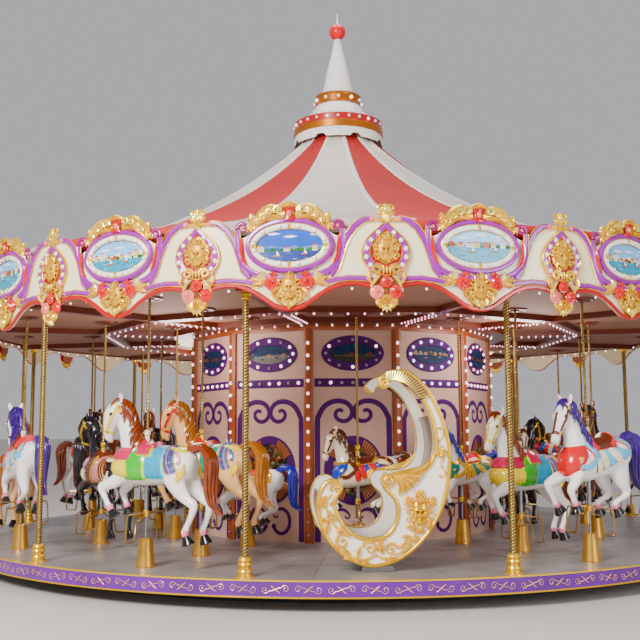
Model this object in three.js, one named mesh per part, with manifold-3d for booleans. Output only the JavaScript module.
// Three-abreast fairground carousel: a turntable with horses on sliding poles, two moon
// chariots, a twelve-sided centre drum, scalloped rounding boards and a tented canopy.
// Millimetres, +Z up, origin on the ground under the turning axis, front along -Y.
import * as THREE from 'three';
import { mergeVertices } from 'three/addons/utils/BufferGeometryUtils.js';
import Module from 'manifold-3d';

const wasm = await Module();
wasm.setup();

// Driving dimensions of the platform
const SEAT_GAP = 0.3;
const PLATFORM_RADIUS = 5000;
const DECK_TOP = 300;
const DECK_THICKNESS = 40;
const SKIRT_BOTTOM = 138;
const SKIRT_THICKNESS = 40;
const ROUND_SIDES = 48;
const FRAME_SIDES = 36;

// Twelve sweeps: outer poles and drum corners share one azimuth, horse rows another
const SWEEPS = 12;
const SWEEP_STEP = 360 / SWEEPS;
const CORNER_AZIMUTH = -10.6;
const ROW_AZIMUTH = 4.4;
const OUTER_POLE_RADIUS = 4870;
const OUTER_POLE_R = 30;

// Ceiling and drum
const CEILING = DECK_TOP + 2720;
const CEILING_THICKNESS = 30;
const BEAM_DEPTH = 70;
const BEAM_WIDTH = 90;
const BEAM_BOTTOM = CEILING - BEAM_DEPTH;
const DRUM_CORNER = 2117;
const DRUM_WALL = 25;
const POST_WIDTH = 70;
const POST_DEPTH = 35;

// Eighteen bays of rounding boards
const BAYS = 18;
const BAY_STEP = 360 / BAYS;
const MASK_AZIMUTH = 4.85;
const BOARD_RADIUS = 5145;
const BOARD_THICKNESS = 30;
const BOARD_SEGMENTS_PER_BAY = 4;
const BOARD_SEGMENTS = BAYS * BOARD_SEGMENTS_PER_BAY;
const BOARD_INNER_FLAT = (BOARD_RADIUS - BOARD_THICKNESS) * Math.cos(Math.PI / BOARD_SEGMENTS);
const BOARD_TOP = DECK_TOP + 3265;
const BOARD_TOP_SWING = 65;
const BOARD_BOTTOM = DECK_TOP + 2755;
const BOARD_BOTTOM_SWING = 45;

// Canopy profile: height falls off exponentially from the lantern to the boards
const GORES = 16;
const SEAM_AZIMUTH = 8.1;
const CANOPY_BASE = DECK_TOP + 2670;
const CANOPY_RISE = 3503;
const CANOPY_DECAY = 2960;
const CANOPY_THICKNESS = 12;
const CANOPY_INNER = 420;
const CANOPY_OUTER = 5050;
const CANOPY_RINGS = 5;
const CANOPY_HEM_RADIUS = BOARD_INNER_FLAT - SEAT_GAP;
const CANOPY_HEM_DROP = 150;

// Horses: three columns per row, each on a pole that slides in a floor socket
const HORSE_COLUMNS = [
  { name: 'outer', radius: 4540, scale: 1, saddleMid: 1130 },
  { name: 'middle', radius: 3560, scale: 1, saddleMid: 1130 },
  { name: 'inner', radius: 2580, scale: 0.8, saddleMid: 935 },
];
const PHASE_LIFTS = [-70, 70, 80];
const HALF_STROKE = 100;
const CHARIOT_ROWS = [0, 6];
const POLE_SIDES = 4;
const ROD_R = 15;
const HORSE_POLE_R = 24;
const RUNNING_GAP = 0.8;
const SOCKET_HEIGHT = 287;
const SOCKET_BOTTOM_R = 94;
const SOCKET_TOP_R = 68;
const SOCKET_FLOOR = 20;
const ROD_HELD = 140;
const POLE_TOP_MID = CEILING + CEILING_THICKNESS + HALF_STROKE + 50;

// Moon chariots
const CHARIOT_AZIMUTH = 5.2;
const CHARIOT_OUTER = 4500;
const CHARIOT_DEPTH = 1080;
const CHARIOT_WALL = 60;

const deg = THREE.MathUtils.degToRad;
const carousel = new THREE.Group();

function material(color, roughness, metalness = 0) {
  return new THREE.MeshStandardMaterial({ color, roughness, metalness });
}

const finish = {
  steel: material('#4b4d50', 0.5, 0.8),
  deck: material('#8f8b86', 0.45, 0.5),
  purple: material('#7b3fa0', 0.4),
  cream: material('#e9dcc8', 0.4),
  brown: material('#7a3f22', 0.4),
  brass: material('#a98743', 0.3, 0.9),
  beige: material('#c9ab98', 0.25),
  canvas: material('#d9d3cd', 0.8),
  white: material('#f2efe9', 0.35),
  red: material('#c4241c', 0.35),
  ivory: material('#f4efe4', 0.35),
  horseWhite: material('#f3efe9', 0.3),
  horseBlack: material('#1c1a1b', 0.3),
  horseBrown: material('#6a3a22', 0.3),
  horsePeach: material('#dba079', 0.3),
};

// Vertices at one place are shared, collapsed triangles dropped and faces turned outward
function toSolid(geometry) {
  const bare = geometry.clone();
  bare.deleteAttribute('normal');
  bare.deleteAttribute('uv');
  const merged = mergeVertices(bare, 1e-3);
  const positions = merged.attributes.position.array;
  const triangles = [];
  let volume = 0;
  const corner = [new THREE.Vector3(), new THREE.Vector3(), new THREE.Vector3()];
  for (let i = 0; i < merged.index.count; i += 3) {
    const ids = [0, 1, 2].map((k) => merged.index.getX(i + k));
    if (ids[0] === ids[1] || ids[1] === ids[2] || ids[2] === ids[0]) continue;
    ids.forEach((id, k) => corner[k].fromArray(positions, id * 3));
    volume += corner[0].dot(corner[1].clone().cross(corner[2]));
    triangles.push(ids);
  }
  if (volume < 0) triangles.forEach((ids) => ids.reverse());
  const mesh = new wasm.Mesh({
    numProp: 3,
    vertProperties: Float32Array.from(positions),
    triVerts: Uint32Array.from(triangles.flat()),
  });
  return new wasm.Manifold(mesh);
}

function toGeometry(solid) {
  const mesh = solid.getMesh();
  const geometry = new THREE.BufferGeometry();
  geometry.setAttribute('position', new THREE.BufferAttribute(mesh.vertProperties, 3));
  geometry.setIndex(new THREE.BufferAttribute(mesh.triVerts, 1));
  geometry.computeVertexNormals();
  return geometry;
}

function join(geometries) {
  return geometries.map(toSolid).reduce((whole, piece) => whole.add(piece));
}

function addPiece(name, shape, look) {
  const geometry = shape.isBufferGeometry ? toGeometry(toSolid(shape)) : toGeometry(shape);
  const mesh = new THREE.Mesh(geometry, look);
  mesh.name = name;
  carousel.add(mesh);
  return mesh;
}

// Local -Y points outward and +X along rising azimuth; azimuth 0 is the front
function placeAt(geometry, radius, azimuth, height = 0) {
  geometry.translate(0, -radius, height);
  geometry.rotateZ(deg(azimuth));
  return geometry;
}

// A profile of [radius, height] turned about +Z, with a flat or corner set by azimuth
function turned(profile, sides, azimuth = 0) {
  const points = profile.map(([r, z]) => new THREE.Vector2(r, z));
  return new THREE.LatheGeometry(points, sides, deg(azimuth)).rotateX(Math.PI / 2);
}

function ring(inner, outer, bottom, top, sides, azimuth = 0) {
  const profile = [[inner, bottom], [outer, bottom], [outer, top], [inner, top], [inner, bottom]];
  return turned(profile, sides, azimuth);
}

function post(radius, bottom, top, sides, topRadius = radius) {
  const height = top - bottom;
  const geometry = new THREE.CylinderGeometry(topRadius, radius, height, sides);
  return geometry.rotateX(Math.PI / 2).translate(0, 0, (top + bottom) / 2);
}

function beam(from, to, width, bottom, top, azimuth) {
  const geometry = new THREE.BoxGeometry(width, to - from, top - bottom);
  return placeAt(geometry, (from + to) / 2, azimuth, (top + bottom) / 2);
}

// A limb: a cylinder whose rings are moved onto a path in the XZ plane
function limb(path, sides, side = 0) {
  const geometry = new THREE.CylinderGeometry(1, 1, 1, sides, path.length - 1);
  const position = geometry.attributes.position;
  for (let i = 0; i < position.count; i += 1) {
    const step = Math.round((0.5 - position.getY(i)) * (path.length - 1));
    const [x, z, deep, wide] = path[step];
    const before = path[Math.max(step - 1, 0)];
    const after = path[Math.min(step + 1, path.length - 1)];
    const along = new THREE.Vector2(after[0] - before[0], after[1] - before[1]).normalize();
    const across = position.getZ(i) * deep;
    const offset = position.getX(i) * wide;
    position.setXYZ(i, x - along.y * across, side + offset, z + along.x * across);
  }
  return geometry;
}

// Steel ground frame with its slewing race, and the joists of the turntable
function addUnderframe() {
  const hubTop = 120;
  const bearingTop = hubTop + 50;
  const beamTop = 110;
  const trackInner = 4250;
  const trackOuter = 4400;
  const hubRadius = 450;
  const raceRadius = 380;
  const spokeStart = 300;
  const spokeWidth = 100;
  const hubSides = 24;
  const pieces = [
    post(hubRadius, 0, hubTop, hubSides),
    post(raceRadius, hubTop - 10, bearingTop, hubSides),
    ring(trackInner, trackOuter, 0, beamTop, FRAME_SIDES),
  ];
  for (let k = 0; k < SWEEPS; k += 1) {
    const azimuth = CORNER_AZIMUTH + k * SWEEP_STEP;
    pieces.push(beam(spokeStart, trackOuter - 75, spokeWidth, 0, beamTop - 10, azimuth));
  }
  addPiece('ground_frame', join(pieces), finish.steel);

  const deckBottom = DECK_TOP - DECK_THICKNESS - SEAT_GAP;
  const joistEnd = PLATFORM_RADIUS - 100;
  const joistWidth = 80;
  const joists = [post(hubRadius + 10, bearingTop + SEAT_GAP, deckBottom, hubSides)];
  for (let k = 0; k < SWEEPS; k += 1) {
    const azimuth = CORNER_AZIMUTH + k * SWEEP_STEP;
    joists.push(beam(spokeStart, joistEnd, joistWidth, deckBottom - BEAM_DEPTH, deckBottom, azimuth));
  }
  addPiece('turntable_frame', join(joists), finish.steel);
}

// Every horse place: row, column, azimuth and the crank phase it moves with
function horsePlaces() {
  const places = [];
  for (let row = 0; row < SWEEPS; row += 1) {
    HORSE_COLUMNS.forEach((column, index) => {
      if (CHARIOT_ROWS.includes(row) && column.name !== 'inner') return;
      const phase = (2 * row + index) % PHASE_LIFTS.length;
      places.push({ row, column, phase, azimuth: ROW_AZIMUTH + row * SWEEP_STEP });
    });
  }
  return places;
}

// A square bore that keeps the running gap to a sliding pole of the same shape
function bore(poleRadius, bottom, top, place) {
  const radius = poleRadius + RUNNING_GAP / Math.cos(Math.PI / POLE_SIDES);
  return placeAt(post(radius, bottom, top, POLE_SIDES), place.column.radius, place.azimuth);
}

function addPlatform() {
  const deckRadius = PLATFORM_RADIUS - SKIRT_THICKNESS - SEAT_GAP;
  let deck = toSolid(post(deckRadius, DECK_TOP - DECK_THICKNESS, DECK_TOP, ROUND_SIDES));
  const socketTop = DECK_TOP + SOCKET_HEIGHT;
  horsePlaces().forEach((place) => {
    const cone = post(SOCKET_BOTTOM_R, DECK_TOP - 5, socketTop, 6, SOCKET_TOP_R);
    deck = deck.add(toSolid(placeAt(cone, place.column.radius, place.azimuth)));
    deck = deck.subtract(toSolid(bore(ROD_R, DECK_TOP + SOCKET_FLOOR, socketTop + 1, place)));
  });
  addPiece('platform_deck', deck, finish.deck);
  const skirt = ring(PLATFORM_RADIUS - SKIRT_THICKNESS, PLATFORM_RADIUS, SKIRT_BOTTOM, DECK_TOP, ROUND_SIDES);
  addPiece('platform_skirt', skirt, finish.purple);
}

// Twelve-sided centre drum: hollow panelling inside a frame of corner posts
function addDrum() {
  const bottom = DECK_TOP + SEAT_GAP;
  const top = BEAM_BOTTOM - SEAT_GAP;
  const shell = ring(DRUM_CORNER - DRUM_WALL, DRUM_CORNER, bottom, top, SWEEPS, CORNER_AZIMUTH);
  addPiece('drum_panels', shell, finish.cream);
  const inner = DRUM_CORNER + 0.5;
  const outer = inner + POST_DEPTH;
  const pieces = [ring(inner, outer - 3, top - 60, top, SWEEPS, CORNER_AZIMUTH)];
  for (let k = 0; k < SWEEPS; k += 1) {
    pieces.push(beam(inner, outer, POST_WIDTH, bottom, top, CORNER_AZIMUTH + k * SWEEP_STEP));
  }
  addPiece('drum_frame', join(pieces), finish.brown);
  addPiece('centre_mast', post(80, bottom, canopyHeight(CANOPY_INNER) + CANOPY_THICKNESS, 12), finish.steel);
}

function addOuterPoles() {
  const bottom = DECK_TOP + SEAT_GAP;
  const profile = [
    [0, bottom],
    [85, bottom],
    [85, bottom + 40],
    [55, bottom + 165],
    [OUTER_POLE_R, bottom + 200],
    [OUTER_POLE_R, BEAM_BOTTOM - SEAT_GAP],
    [0, BEAM_BOTTOM - SEAT_GAP],
  ];
  for (let k = 0; k < SWEEPS; k += 1) {
    const azimuth = CORNER_AZIMUTH + k * SWEEP_STEP;
    const mesh = addPiece(`outer_pole_${k + 1}`, turned(profile, 6), finish.brass);
    mesh.position.set(OUTER_POLE_RADIUS * Math.sin(deg(azimuth)), -OUTER_POLE_RADIUS * Math.cos(deg(azimuth)), 0);
    mesh.rotation.z = deg(azimuth);
  }
}

function addCeiling() {
  const top = CEILING - SEAT_GAP;
  const carrierInner = 5040;
  const carrierOuter = BOARD_INNER_FLAT - SEAT_GAP;
  const flatMiddle = MASK_AZIMUTH + 180 / BOARD_SEGMENTS;
  const pieces = [
    ring(DRUM_CORNER + 1, 2450, BEAM_BOTTOM, top, SWEEPS, CORNER_AZIMUTH),
    ring(3250, 3450, BEAM_BOTTOM, top, SWEEPS, CORNER_AZIMUTH),
    ring(carrierInner, carrierOuter, CEILING - 20, CEILING + 280, 2 * SWEEPS, flatMiddle),
  ];
  for (let k = 0; k < SWEEPS; k += 1) {
    pieces.push(beam(2200, carrierInner + 20, BEAM_WIDTH, BEAM_BOTTOM, top, CORNER_AZIMUTH + k * SWEEP_STEP));
  }
  addPiece('ceiling_frame', join(pieces), finish.brown);

  let panels = toSolid(ring(2000, carrierInner - SEAT_GAP, CEILING, CEILING + CEILING_THICKNESS, 2 * SWEEPS, flatMiddle));
  horsePlaces().forEach((place) => {
    const hole = bore(HORSE_POLE_R, CEILING - 1, CEILING + CEILING_THICKNESS + 1, place);
    panels = panels.subtract(toSolid(hole));
  });
  addPiece('ceiling_panels', panels, finish.beige);
}

// An outline given by its right half, top to bottom, mirrored and extruded outward
function plaque(halfOutline, centreHeight, azimuth, back, front) {
  const right = halfOutline.map(([x, z]) => new THREE.Vector2(x, z));
  const left = halfOutline.slice(1, -1).reverse().map(([x, z]) => new THREE.Vector2(-x, z));
  const shape = new THREE.Shape([...right, ...left]);
  const geometry = new THREE.ExtrudeGeometry(shape, { depth: front - back, bevelEnabled: false });
  geometry.rotateX(Math.PI / 2);
  return placeAt(geometry, back, azimuth, centreHeight);
}

function addRoundingBoards() {
  const inner = BOARD_RADIUS - BOARD_THICKNESS;
  const board = ring(inner, BOARD_RADIUS, 0, 1, BOARD_SEGMENTS, MASK_AZIMUTH);
  const position = board.attributes.position;
  for (let i = 0; i < position.count; i += 1) {
    const azimuth = THREE.MathUtils.radToDeg(Math.atan2(position.getX(i), -position.getY(i)));
    const turn = ((azimuth - MASK_AZIMUTH) / BAY_STEP) * 2 * Math.PI;
    const top = BOARD_TOP + BOARD_TOP_SWING * Math.cos(turn);
    const bottom = BOARD_BOTTOM - BOARD_BOTTOM_SWING * Math.cos(2 * turn);
    position.setZ(i, position.getZ(i) > 0.5 ? top : bottom);
  }
  const maskOutline = [[0, 440], [70, 330], [230, 50], [190, -170], [0, -550]];
  const ovalOutline = [[0, 400], [330, 215], [415, 0], [330, -190], [140, -270], [0, -590]];
  const pieces = [board];
  for (let k = 0; k < BAYS; k += 1) {
    const azimuth = MASK_AZIMUTH + k * BAY_STEP;
    pieces.push(plaque(maskOutline, DECK_TOP + 3000, azimuth, inner + 10, BOARD_RADIUS + 55));
    pieces.push(plaque(ovalOutline, DECK_TOP + 3050, azimuth + BAY_STEP / 2, inner + 5, BOARD_RADIUS + 45));
  }
  addPiece('rounding_boards', join(pieces), finish.cream);
}

function canopyHeight(radius) {
  return CANOPY_BASE + CANOPY_RISE * Math.exp(-radius / CANOPY_DECAY);
}

// One closed skin: the underside follows the profile and the top lies a thickness above it
function addCanopy() {
  const line = [];
  for (let i = 0; i <= CANOPY_RINGS; i += 1) {
    const radius = CANOPY_INNER + (CANOPY_OUTER - CANOPY_INNER) * (i / CANOPY_RINGS) ** 1.3;
    line.push([radius, canopyHeight(radius)]);
  }
  const hemHeight = canopyHeight(CANOPY_OUTER) - CANOPY_HEM_DROP;
  const under = [...line.slice(0, -1), [CANOPY_OUTER - CANOPY_THICKNESS, line.at(-1)[1]]];
  under.push([CANOPY_HEM_RADIUS - CANOPY_THICKNESS, hemHeight]);
  const over = line.map(([r, z]) => [r, z + CANOPY_THICKNESS]);
  over.push([CANOPY_HEM_RADIUS, hemHeight]);
  const profile = [...under, ...over.reverse(), under[0]];
  addPiece('canopy', turned(profile, 2 * GORES, SEAM_AZIMUTH), finish.canvas);
}

// Lantern over the canopy's crown, then the spire and its ball finial
function addLantern() {
  const bottom = canopyHeight(CANOPY_INNER) + CANOPY_THICKNESS + SEAT_GAP;
  const flareTop = DECK_TOP + 6170;
  const skirtBottom = DECK_TOP + 5560;
  const bandTop = DECK_TOP + 5890;
  const lantern = [
    [0, bottom], [600, bottom], [628, skirtBottom + 20], [655, skirtBottom], [670, bandTop - 200],
    [670, bandTop - 100], [655, bandTop], [470, bandTop + 125], [345, flareTop], [0, flareTop],
  ];
  addPiece('lantern', turned(lantern, 24), finish.white);
  const coneFoot = DECK_TOP + 6330;
  const coneTop = DECK_TOP + 7250;
  const spire = [
    [0, flareTop + SEAT_GAP], [345, flareTop + SEAT_GAP], [345, coneFoot], [252, coneFoot + 5],
    [162, coneFoot + 428], [83, coneFoot + 758], [50, coneTop], [0, coneTop],
  ];
  addPiece('spire', turned(spire, 16), finish.white);
  const ballRadius = 125;
  const ball = new THREE.SphereGeometry(ballRadius, 10, 7).rotateX(Math.PI / 2);
  ball.translate(0, 0, coneTop + ballRadius);
  const foot = post(30, coneTop + SEAT_GAP, coneTop + 40, 8);
  const tip = post(13, coneTop + ballRadius, DECK_TOP + 7680, 8, 4);
  const cut = new THREE.BoxGeometry(200, 200, 20).translate(0, 0, coneTop - 10 + SEAT_GAP);
  addPiece('ball_finial', join([ball, foot, tip]).subtract(toSolid(cut)), finish.red);
}

// Horse in its own frame: +X forward, origin on the pole axis at saddle height
function horseGeometry(column) {
  const frontLegs = [
    { side: 70, path: [[170, -210, 110, 60], [480, -400, 50, 42], [390, -670, 45, 42]] },
    { side: -70, path: [[170, -210, 110, 60], [330, -480, 50, 42], [250, -700, 45, 42]] },
  ];
  const hindLegs = [
    { side: 90, path: [[-410, -260, 130, 70], [-620, -620, 48, 42], [-570, -930, 45, 42]] },
    { side: -90, path: [[-430, -240, 130, 70], [-680, -590, 48, 42], [-650, -960, 45, 42]] },
  ];
  const trunk = [
    [-575, -170, 110, 90], [-430, -195, 195, 180], [60, -205, 195, 180], [270, -90, 210, 150],
    [290, 220, 110, 75], [375, 400, 110, 70], [465, 80, 55, 48],
  ];
  const tail = [[-530, -60, 50, 40], [-720, -60, 80, 60], [-810, -620, 45, 40]];
  const body = [limb(trunk, 5), limb(tail, 3)];
  [...frontLegs, ...hindLegs].forEach((leg) => body.push(limb(leg.path, 3, leg.side)));
  body.forEach((piece) => piece.scale(column.scale, column.scale, column.scale));

  // Pole, rod and footrest clamp in one turned piece, with the footrest's bar and drops
  const saddle = DECK_TOP + column.saddleMid;
  const rodBottom = DECK_TOP + SOCKET_HEIGHT - ROD_HELD - saddle;
  const poleTop = POLE_TOP_MID - saddle;
  const clamp = -670 * column.scale;
  const profile = [
    [0, rodBottom], [ROD_R, rodBottom], [ROD_R, clamp], [HORSE_POLE_R, clamp], [HORSE_POLE_R, poleTop], [0, poleTop],
  ];
  const reach = 300 * column.scale;
  const drop = 230 * column.scale;
  const bar = 16;
  const stirrup = new THREE.Shape([
    [-reach, -drop], [-reach, bar], [reach, bar], [reach, -drop],
    [reach - bar, -drop], [reach - bar, 0], [bar - reach, 0], [bar - reach, -drop],
  ].map(([x, y]) => new THREE.Vector2(x, y)));
  const footrest = new THREE.ExtrudeGeometry(stirrup, { depth: bar, bevelEnabled: false });
  footrest.translate(0, 0, -bar / 2).rotateX(Math.PI / 2).rotateZ(Math.PI / 2).translate(0, 0, clamp);
  return join([...body, turned(profile, POLE_SIDES), footrest]);
}

function horseLook(row, index) {
  const looks = [finish.horseWhite, finish.horseBlack, finish.horseWhite, finish.horsePeach, finish.horseBrown];
  return looks[(row + 2 * index) % looks.length];
}

function addHorses() {
  const shapes = HORSE_COLUMNS.map(horseGeometry);
  horsePlaces().forEach((place) => {
    const index = HORSE_COLUMNS.indexOf(place.column);
    const name = `horse_${place.column.name}_${place.row + 1}`;
    const mesh = addPiece(name, shapes[index], horseLook(place.row, index));
    const angle = deg(place.azimuth);
    const height = DECK_TOP + place.column.saddleMid + PHASE_LIFTS[place.phase];
    mesh.position.set(place.column.radius * Math.sin(angle), -place.column.radius * Math.cos(angle), height);
    mesh.rotation.z = angle + Math.PI;
  });
}

// Moon chariot: two crescent side walls with a bent seat shell between them
function chariotGeometry() {
  const crescent = new THREE.Shape();
  crescent.moveTo(-20, 1840);
  crescent.splineThru([[170, 1950], [460, 1740], [640, 1440], [670, 1080], [630, 740], [460, 410], [180, 130]]
    .map(([x, z]) => new THREE.Vector2(x, z)));
  crescent.splineThru([[-100, 60], [-380, 120], [-590, 360], [-650, 630], [-600, 800], [-480, 900]]
    .map(([x, z]) => new THREE.Vector2(x, z)));
  crescent.splineThru([[-400, 760], [-350, 490], [-100, 340], [110, 560], [40, 900]]
    .map(([x, z]) => new THREE.Vector2(x, z)));
  crescent.splineThru([[290, 930], [470, 1040], [500, 1260], [290, 1740], [140, 1830], [-20, 1840]]
    .map(([x, z]) => new THREE.Vector2(x, z)));
  const wall = (offset) => {
    const geometry = new THREE.ExtrudeGeometry(crescent, { depth: CHARIOT_WALL, bevelEnabled: false, curveSegments: 2 });
    return geometry.rotateX(Math.PI / 2).translate(0, -offset, 0);
  };
  const shell = new THREE.Shape();
  [[-560, 760], [-500, 420], [-100, 200], [300, 320], [420, 700], [600, 1080], [600, 1420]]
    .forEach(([x, z], i) => (i === 0 ? shell.moveTo(x, z) : shell.lineTo(x, z)));
  [[560, 1420], [555, 1100], [370, 740], [250, 380], [-100, 250], [-460, 450], [-515, 760]]
    .forEach(([x, z]) => shell.lineTo(x, z));
  const seat = new THREE.ExtrudeGeometry(shell, { depth: CHARIOT_DEPTH - CHARIOT_WALL, bevelEnabled: false });
  seat.rotateX(Math.PI / 2).translate(0, (CHARIOT_DEPTH - CHARIOT_WALL) / 2, 0);
  const footHeight = 100;
  const foot = new THREE.BoxGeometry(260, CHARIOT_DEPTH, footHeight).translate(-60, 0, footHeight / 2);
  return join([wall(CHARIOT_DEPTH / 2 - CHARIOT_WALL), wall(-CHARIOT_DEPTH / 2), seat, foot]);
}

function addChariots() {
  CHARIOT_ROWS.forEach((row, i) => {
    const angle = deg(CHARIOT_AZIMUTH + row * SWEEP_STEP);
    const radius = CHARIOT_OUTER - CHARIOT_DEPTH / 2;
    const mesh = addPiece(`moon_chariot_${i + 1}`, chariotGeometry(), finish.ivory);
    mesh.position.set(radius * Math.sin(angle), -radius * Math.cos(angle), DECK_TOP + SEAT_GAP);
    mesh.rotation.z = angle;
  });
}

addUnderframe();
addPlatform();
addDrum();
addOuterPoles();
addCeiling();
addRoundingBoards();
addCanopy();
addLantern();
addHorses();
addChariots();

export default carousel;
